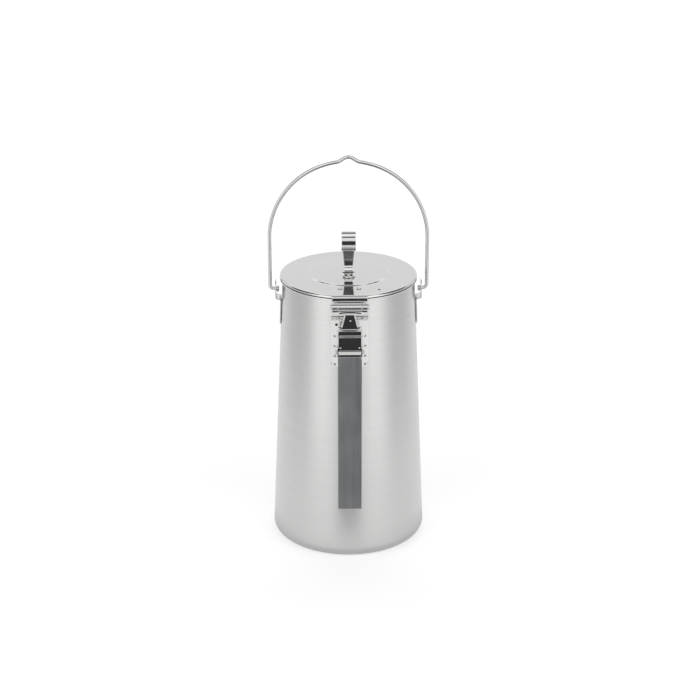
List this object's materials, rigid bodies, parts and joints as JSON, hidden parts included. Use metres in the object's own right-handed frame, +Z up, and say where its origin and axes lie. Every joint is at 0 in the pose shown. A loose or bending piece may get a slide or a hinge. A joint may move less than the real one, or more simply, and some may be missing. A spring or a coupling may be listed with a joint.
{
  "type": "camping kettle",
  "caption": "Tall tapered steel kettle with a hinged lid and strap knob, a swinging wire bail, a folding side handle and a V-shaped spout, for boiling and pouring.",
  "frame": {"origin": "middle of the flat base, on the surface that the kettle stands on", "axes": "+Z up along the body's axis; side handle and lid hinge on -Y, spout on +Y, bail ears on -X and +X"},
  "size_m": [0.1266, 0.1424, 0.3168],
  "materials": {
    "satin_steel": "satin, fine hairlines round the body",
    "polished_steel": "polished stainless steel",
    "brushed_steel": "dark, brushed lengthwise"
  },
  "bodies": {
    "root": {"body_shell": "satin_steel", "spout": "satin_steel", "hinge_bracket": "polished_steel", "ear_left": "polished_steel", "ear_right": "polished_steel", "lid_pin": "polished_steel", "handle_pin": "polished_steel"},
    "lid": {"lid": "polished_steel", "lid_leaf": "polished_steel", "leaf_rivet_left": "polished_steel", "leaf_rivet_right": "polished_steel", "knob_strap": "polished_steel", "knob_rivet": "polished_steel"},
    "side_handle": {"handle_strip": "brushed_steel"},
    "bail": {"bail": "polished_steel"}
  },
  "joints": [
    {"name": "lid_hinge", "type": "hinge", "parent": "root", "child": "lid", "pos_m": [0, -0.0584, 0.2136], "axis": [1, 0, 0], "range_deg": [0, 110]},
    {"name": "handle_fold", "type": "hinge", "parent": "root", "child": "side_handle", "pos_m": [0, -0.05763, 0.1762], "axis": [-1, 0, 0], "range_deg": [0, 95]},
    {"name": "bail_swing", "type": "hinge", "parent": "root", "child": "bail", "pos_m": [0, 0, 0.2078], "axis": [1, 0, 0], "range_deg": [-145, 100]}
  ]
}
